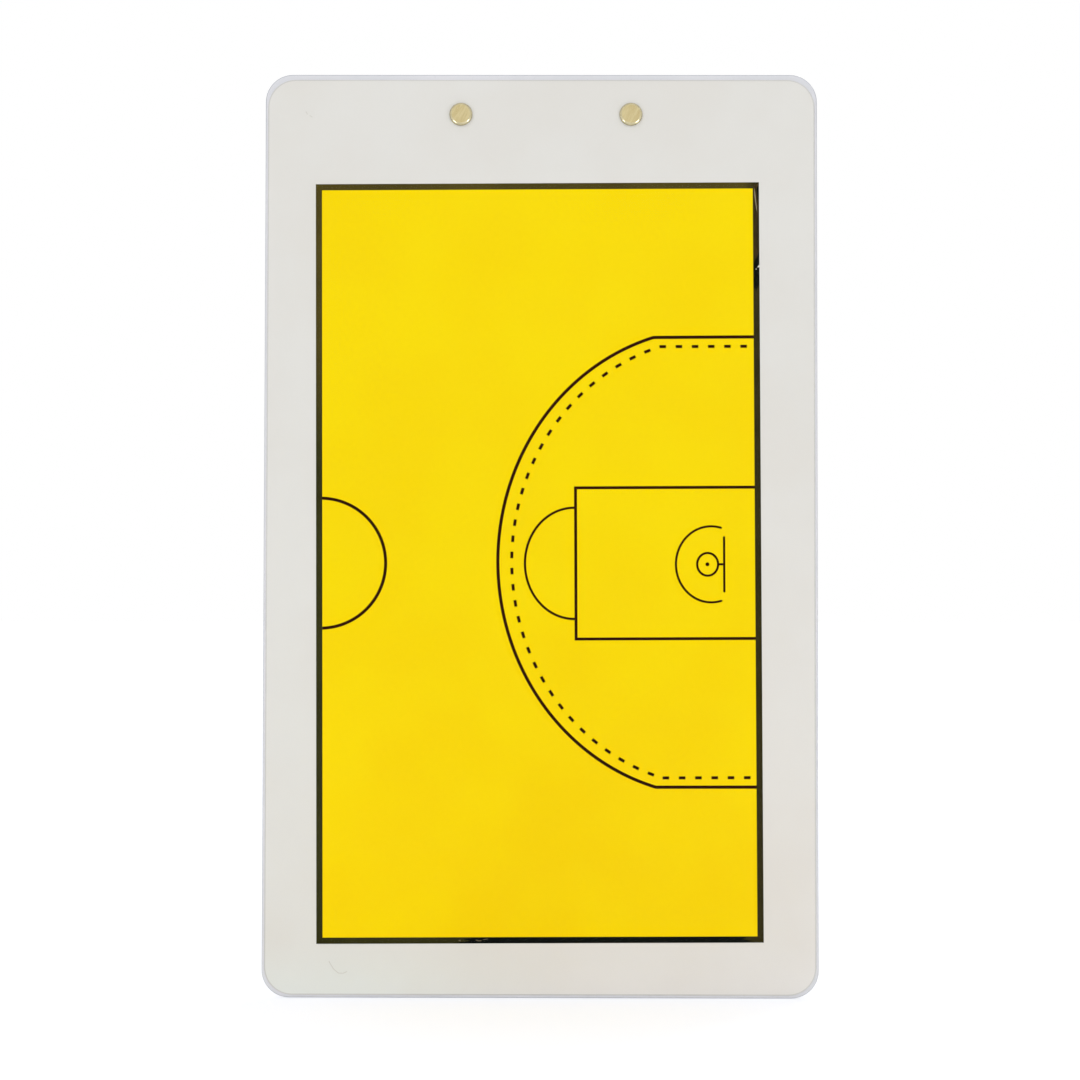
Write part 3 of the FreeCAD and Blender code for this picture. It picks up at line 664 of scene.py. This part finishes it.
class Face:
    """One printed face of the board: turns print millimetres into places on the sheet."""

    def __init__(self, sheet, front, middle_x, middle_z, turn=0.0):
        self.low, self.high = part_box(sheet)
        spin = Matrix.Rotation(math.radians(turn), 4, "Z")
        upright = Matrix.Rotation(math.pi / 2, 4, "X")
        about = Matrix.Rotation(0 if front else math.pi, 4, "Z")
        place = Vector((middle_x, self.low.y if front else self.high.y, middle_z))
        self.matrix = Matrix.Translation(place) @ about @ upright @ spin

    def ink(self, name, shapes, top, material, slot="printed_sheet", bottom=None):
        """A piece made of flat shapes, each a list of loops, that rides on the board."""
        if bottom is None:
            bottom = top - LAYER_THICKNESS
        mesh = bmesh.new()
        for loops in shapes:
            add_plate(mesh, loops, bottom, top)
        bmesh.ops.recalc_face_normals(mesh, faces=mesh.faces)
        put_in_order(mesh)
        data = bpy.data.meshes.new(name)
        mesh.transform(self.matrix)
        mesh.to_mesh(data)
        mesh.free()
        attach(add_piece(name, data, material), "board")


def add_ground(face, court, materials):
    """The printed paper of one face, with the rivets' holes, and the film's edge round it painted darker
    as shade.
    """
    width = (face.high.x - face.low.x) / MM
    height = (face.high.z - face.low.z) / MM
    to_face = face.matrix.inverted()
    middle = to_face @ Vector(((face.low.x + face.high.x) / 2, 0, (face.low.z + face.high.z) / 2))
    turn = to_face.to_3x3() @ Vector((1, 0, 0))
    across = turn.xy.normalized() * (1 if turn.x > 0 else -1)

    def square_to_board(loop):
        """A loop about the sheet's middle as places in the print, which may be turned a little."""
        return [
            (middle.x / MM + u * across.x - v * across.y, middle.y / MM + u * across.y + v * across.x)
            for u, v in loop
        ]

    holes = []
    for rivet in ("rivet_left", "rivet_right"):
        low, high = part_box(rivet)
        spot = to_face @ ((low + high) / 2)
        holes.append(circle((spot.x / MM, spot.y / MM), RIVET_HOLE_RADIUS))
    outline = square_to_board(sheet_outline(width, height, SHEET_INSET))
    inside = square_to_board(sheet_outline(width, height, SHEET_INSET + FILM_EDGE_WIDTH))
    ground = [[outline, *holes]]
    face.ink(court + "_ground", ground, GROUND_TOP, materials["paper"], bottom=GROUND_BOTTOM)
    edge = [[outline, inside]]
    face.ink(court + "_film_edge_shade", edge, FIELD_TOP, materials["film_edge_shade"], slot="clear_film")


def add_field(face, court, outer, materials):
    """The yellow field of one face, and the black border round it."""
    inner = [size - 2 * BORDER_WIDTH for size in outer]
    field = [[rectangle(*(size + FIELD_OVERLAP for size in inner))]]
    border = [[rectangle(*outer), rectangle(*inner)]]
    face.ink(court + "_field", field, FIELD_TOP, materials["yellow"])
    face.ink(court + "_border", border, BORDER_TOP, materials["border"])


# Half-court face


def half_court_lines():
    """The court's lines, each as the outline of one pen line."""
    right = HALF_PRINT_SIZE[0] / 2 - BORDER_WIDTH
    three_point_arc = ellipse_arc(**THREE_POINT_ARC)
    three_point = [(right, THREE_POINT_TOP), *three_point_arc, (right, THREE_POINT_BOTTOM)]
    key = [(right, KEY_TOP), (KEY_LEFT, KEY_TOP), (KEY_LEFT, KEY_BOTTOM), (right, KEY_BOTTOM)]
    restricted = ellipse_arc(**RESTRICTED_ARC, points=CIRCLE_POINTS)
    return [
        [stroke(three_point, THREE_POINT_LINE)],
        [stroke(ellipse_arc(**CENTRE_ARC), CENTRE_LINE)],
        [stroke(key, KEY_LINE)],
        [stroke(ellipse_arc(**FREE_THROW_ARC), FREE_THROW_LINE)],
        [stroke(restricted, RESTRICTED_LINE, round_ends=True)],
        ring_line(**HOOP, width=HOOP_LINE),
        [circle(HOOP_DOT, HOOP_DOT_RADIUS)],
        [stroke(HOOP_NECK, HOOP_LINE)],
        [stroke(BACKBOARD, HOOP_LINE, round_ends=True)],
    ]


def half_court_dashes():
    """The dashed line inside the three-point line: an arc of dashes and a straight row each end."""
    marks = []
    for end in DASH_ARC_ENDS:
        arc = ellipse_arc(**DASH_ARC, end=end, points=DASH_ARC_POINTS)
        marks += spots_along(arc, DASH_PITCH, DASHES_PER_HALF_ARC)
    for first, height in DASH_ROWS:
        row = [(first - DASH_PITCH / 2, height), (first + DASH_PITCH * DASHES_PER_ROW, height)]
        marks += spots_along(row, DASH_PITCH, DASHES_PER_ROW)
    dashes = []
    for spot, way in marks:
        reach = way * DASH_LENGTH / 2
        dashes.append([stroke([spot - reach, spot + reach], DASH_WIDTH)])
    return dashes


def add_film_flaws(face, materials):
    """Painted shade where the film lies tight on the border, painted shade, sheen and glints along its
    crease, flecks painted as glints, and scratches.
    """
    right_side = HALF_PRINT_SIZE[0] / 2
    low_side = -HALF_PRINT_SIZE[1] / 2

    def down_right(spots):
        """Places in the print from (depth in from the border's right edge, height)."""
        return [(right_side - depth, height) for depth, height in spots]

    bottom = [(place, low_side + height) for place, height in TIGHT_BOTTOM]
    tight = [[bottom], [down_right(TIGHT_RIGHT)], [down_right(TIGHT_SLIVER)]]
    face.ink("border_dimple_shade", tight, TIGHT_FILM_TOP, materials["dimple_shade"])
    face.ink("border_crease_shade", [[down_right(CREASE_SHADE)]], LINE_TOP, materials["shade"])
    glint_dot = circle(*down_right([CREASE_DOT]), CREASE_DOT_RADIUS)
    marks = [
        ("border_crease_sheen", "film_sheen", [[down_right(CREASE_SHEEN)]]),
        ("border_flecks", "film_sheen", [[stroke(*fleck)] for fleck in FLECKS]),
        ("border_crease_glints", "glint", [[down_right(CREASE_GLINT)], [glint_dot]]),
        ("film_scratches", "scratch", [[stroke(path, SCRATCH_WIDTH, True)] for path in SCRATCHES]),
    ]
    for name, look, shapes in marks:
        face.ink(name, shapes, FLAW_TOP, materials[look], slot="clear_film")


def add_half_court(materials):
    """The photographed face: paper, field, border, lines, dashes and the film's flaws."""
    middle_x = board_middle.x + HALF_PRINT_SHIFT[0] * MM
    middle_z = board_middle.z + HALF_PRINT_SHIFT[1] * MM
    face = Face("half_court_sheet", True, middle_x, middle_z, HALF_PRINT_TURN)
    add_ground(face, "half_court", materials)
    add_field(face, "half_court", HALF_PRINT_SIZE, materials)
    face.ink("half_court_lines", half_court_lines(), LINE_TOP, materials["line"])
    face.ink("half_court_dashes", half_court_dashes(), LINE_TOP, materials["line"])
    add_film_flaws(face, materials)


# Full-court face, on the clip's side


def full_court_half(court):
    """The lines of the court's upper half, from its measures in print millimetres."""
    end = court["length"] / 2
    basket = (0, end - court["end_to_basket"])
    corner = court["width"] / 2 - court["side_to_three_point"]
    arc_radius = court["three_point_radius"]
    meeting = math.degrees(math.acos(corner / arc_radius))
    arc = ellipse_arc(basket, arc_radius, arc_radius, -meeting, meeting - 180)
    three_point = [(corner, end), *arc, (-corner, end)]
    key_side = court["key_half_width"]
    key_end = end - court["key_length"]
    key = [(key_side, end), (key_side, key_end), (-key_side, key_end), (-key_side, end)]
    ring = court["circle_radius"]
    free_throw = ellipse_arc((0, key_end - FULL_LINE / 2), ring, ring, 180, 360)
    inner_ring = court["restricted_radius"]
    restricted = ellipse_arc(basket, inner_ring, inner_ring, 180, 360, CIRCLE_POINTS)
    hoop = court["hoop_radius"]
    board_side = court["backboard_half_width"]
    board_height = end - court["end_to_backboard"]
    backboard = [(-board_side, board_height), (board_side, board_height)]
    return [
        [stroke(three_point, FULL_LINE)],
        [stroke(key, FULL_LINE)],
        [stroke(free_throw, FULL_FINE_LINE)],
        [stroke(restricted, FULL_FINE_LINE, round_ends=True)],
        ring_line(basket, hoop, hoop, FULL_FINE_LINE),
        [stroke(backboard, FULL_FINE_LINE, round_ends=True)],
    ]


def full_court_lines(court):
    """A full court that stands upright: one half's lines, the same turned round, and the middle."""
    half = full_court_half(court)
    shapes = []
    for way in (1, -1):
        shapes += [[[(way * u, way * v) for u, v in loop] for loop in loops] for loops in half]
    side = court["width"] / 2
    ring = court["circle_radius"]
    outside = ring + FULL_LINE / 2
    inside = ring - FULL_LINE / 2
    for first, last in ((side, outside), (-side, -outside), (inside, -inside)):
        shapes.append([stroke([(first, 0), (last, 0)], FULL_LINE)])
    return [*shapes, ring_line((0, 0), ring, ring, FULL_LINE)]


def add_full_court(materials):
    """The clip's face: paper, field, border and lines, in a real court's proportions."""
    middle_z = (FULL_PRINT_TOP + FULL_PRINT_BOTTOM) / 2 * MM
    face = Face("full_court_sheet", False, board_middle.x, middle_z)
    height = FULL_PRINT_TOP - FULL_PRINT_BOTTOM
    scale = (height - 2 * BORDER_WIDTH) / COURT_METRES["length"]
    court = {name: metres * scale for name, metres in COURT_METRES.items()}
    add_ground(face, "full_court", materials)
    add_field(face, "full_court", (court["width"] + 2 * BORDER_WIDTH, height), materials)
    face.ink("full_court_lines", full_court_lines(court), LINE_TOP, materials["line"])


# Clip


def spring_path():
    """Places along the wire: lower leg, turns round the rod, and the leg under the lever."""
    sweep = FULL_TURN * SPRING_TURNS + math.pi - math.radians(SPRING_TILT)
    length = SPRING_PITCH * sweep / FULL_TURN

    def on_coil(turned):
        angle = -math.pi / 2 - turned
        along = SPRING_PITCH * turned / FULL_TURN - length / 2
        return Vector((along, SPRING_COIL_RADIUS * math.sin(angle), SPRING_COIL_RADIUS * math.cos(angle)))

    steps = round(sweep / FULL_TURN * SPRING_POINTS_PER_TURN)
    turns = [on_coil(sweep * index / steps) for index in range(steps + 1)]
    aim = sweep / steps * SPRING_AIM_SHARE
    lower_way = (on_coil(aim) - turns[0]).normalized()
    upper_way = (turns[-1] - on_coil(sweep - aim)).normalized()
    reaches = [SPRING_LEG * (index + 1) / SPRING_LEG_STEPS for index in range(SPRING_LEG_STEPS)]
    lower = [turns[0] - lower_way * reach for reach in reversed(reaches)]
    upper = [turns[-1] + upper_way * reach for reach in reaches]
    return lower + turns + upper, length


def wire_mesh(name, path):
    """A round wire along a path about the joint, closed and a little rounded at both tips."""
    mesh = bmesh.new()
    rings = []
    radius = SPRING_WIRE / 2
    ways = [(b - a).normalized() for a, b in zip(path, path[1:])]
    side = ways[0].orthogonal().normalized()
    for index, spot in enumerate(path):
        way = (ways[max(index - 1, 0)] + ways[min(index, len(ways) - 1)]).normalized()
        side = (side - way * side.dot(way)).normalized()
        other = way.cross(side)
        spots = [(spot, 1.0)]
        if index == 0:
            spots = [(spot + way * reach * radius, share) for reach, share in SPRING_TIP]
        if index == len(path) - 1:
            spots = [(spot - way * reach * radius, share) for reach, share in reversed(SPRING_TIP)]
        for centre, share in spots:
            ring = []
            for step in range(SPRING_RING_POINTS):
                angle = FULL_TURN * step / SPRING_RING_POINTS
                out = side * math.cos(angle) + other * math.sin(angle)
                ring.append(mesh.verts.new((centre + out * radius * share) * MM + joint_place))
            rings.append(ring)
    for first, second in zip(rings, rings[1:]):
        for step in range(SPRING_RING_POINTS):
            after = (step + 1) % SPRING_RING_POINTS
            face = mesh.faces.new((first[step], first[after], second[after], second[step]))
            face.smooth = True
    mesh.faces.new(rings[0][::-1])
    mesh.faces.new(rings[-1])
    bmesh.ops.recalc_face_normals(mesh, faces=mesh.faces)
    data = bpy.data.meshes.new(name)
    mesh.to_mesh(data)
    mesh.free()
    return data


def add_spring(material):
    """The wound spring round the rod, which takes the place of the CAD node's spring."""
    path, length = spring_path()
    data = wire_mesh("wound_spring", path)
    spring = add_piece("wound_spring", data, material)
    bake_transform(spring)
    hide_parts("torsion_spring")


def dress_nodes():
    """Gives each carried-over node its own material."""
    film = film_material()
    sheet = sheet_material()
    brass = brass_material()
    plate = plate_material()
    looks = {
        "core_board": core_material(),
        "half_court_sheet": sheet,
        "full_court_sheet": sheet,
        "front_film": film,
        "rear_film": film,
        "rivet_left": brass,
        "rivet_right": brass,
        "clip_base_plate": plate,
        "clip_lever": plate,
        "hinge_rod": rod_material(),
    }
    for node, material in looks.items():
        for slot in frame["nodes"][node].material_slots:
            slot.material = material


# Stage


def floor_material():
    """Pale floor that keeps the board's shadow, lifted towards white where it is seen."""
    look = Shading(
        "floor_white", Roughness=FLOOR_ROUGHNESS, Specular_IOR_Level=0.0, Emission_Color=FLOOR_GLOW
    )
    seen = seen_rays(look.tree)
    look.colour(look.mix(seen, grey(FLOOR_TONE), grey(FLOOR_SEEN_TONE)))
    distance = look.add("ShaderNodeVectorMath", Vector=look.coordinates.outputs["Object"])
    distance.operation = "LENGTH"
    near, near_glow = FLOOR_GLOW_NEAR
    far, far_glow = FLOOR_GLOW_FAR
    ends = dict(From_Min=near * MM, From_Max=far * MM, To_Min=near_glow, To_Max=far_glow)
    glow = ranged(look.tree, distance.outputs["Value"], **ends)
    look.feed(look.shader.inputs["Emission Strength"], arithmetic(look.tree, "MULTIPLY", seen, glow))
    return look.material


def add_floor():
    """A wide floor just under the board's lower edge."""
    data = bpy.data.meshes.new("floor")
    corners = [(x * MM, y * MM, 0) for x, y in rectangle(2 * FLOOR_REACH, 2 * FLOOR_REACH)]
    data.from_pydata(corners, [], [(0, 1, 2, 3)])
    data.materials.append(floor_material())
    floor = bpy.data.objects.new("floor", data)
    floor.location = (0, 0, board_low.z - FLOOR_GAP * MM)
    bpy.context.scene.collection.objects.link(floor)


def add_lamp(name, place, target, width, watts):
    """A square lamp that looks at its target."""
    data = bpy.data.lights.new(name, "AREA")
    data.energy = watts
    data.size = width * MM
    lamp = bpy.data.objects.new(name, data)
    lamp.location = Vector(place) * MM
    aim = Vector(target) * MM - lamp.location
    lamp.rotation_euler = aim.to_track_quat("-Z", "Y").to_euler()
    lamp.visible_camera = False
    bpy.context.scene.collection.objects.link(lamp)
    return lamp


def light_scene():
    """A white room, soft lamps, and small lamps for the glints."""
    world = bpy.data.worlds.new("white_room")
    bpy.context.scene.world = world
    world.use_nodes = True
    tree = world.node_tree
    background = tree.nodes["Background"]
    background.inputs["Color"].default_value = grey(1.0)
    level = ranged(tree, seen_rays(tree), To_Min=SKY_LEVEL, To_Max=SKY_SEEN_LEVEL)
    tree.links.new(level, background.inputs["Strength"])
    add_lamp(*REAR_LAMP)
    for lamp in SOFT_LAMPS:
        add_lamp(*lamp).visible_glossy = False
    for lamp in GLINT_LAMPS:
        add_lamp(*lamp).visible_diffuse = False


def add_camera():
    """The camera at the photograph's viewing angle."""
    data = bpy.data.cameras.new("camera")
    data.sensor_width = SENSOR_WIDTH
    data.lens = FOCAL_PIXELS / FRAME_PIXELS * SENSOR_WIDTH
    camera = bpy.data.objects.new("camera", data)
    camera.location = Vector(CAMERA_PLACE) * MM
    camera.rotation_euler = Euler([math.radians(angle) for angle in CAMERA_TURN], "XYZ")
    bpy.context.scene.collection.objects.link(camera)
    bpy.context.scene.camera = camera


bpy.context.scene.view_settings.view_transform = "Standard"
dress_nodes()
print_materials = {
    "paper": paper_material(),
    "yellow": yellow_material(),
    "border": border_material(),
    "line": line_material(),
    "dimple_shade": dimple_shade_material(),
    "shade": crease_shade_material(),
    "film_sheen": film_sheen_material(),
    "glint": glint_material(),
    "scratch": scratch_material(),
    "film_edge_shade": film_edge_shade_material(),
}
add_half_court(print_materials)
add_full_court(print_materials)
add_spring(spring_material())
add_floor()
light_scene()
add_camera()
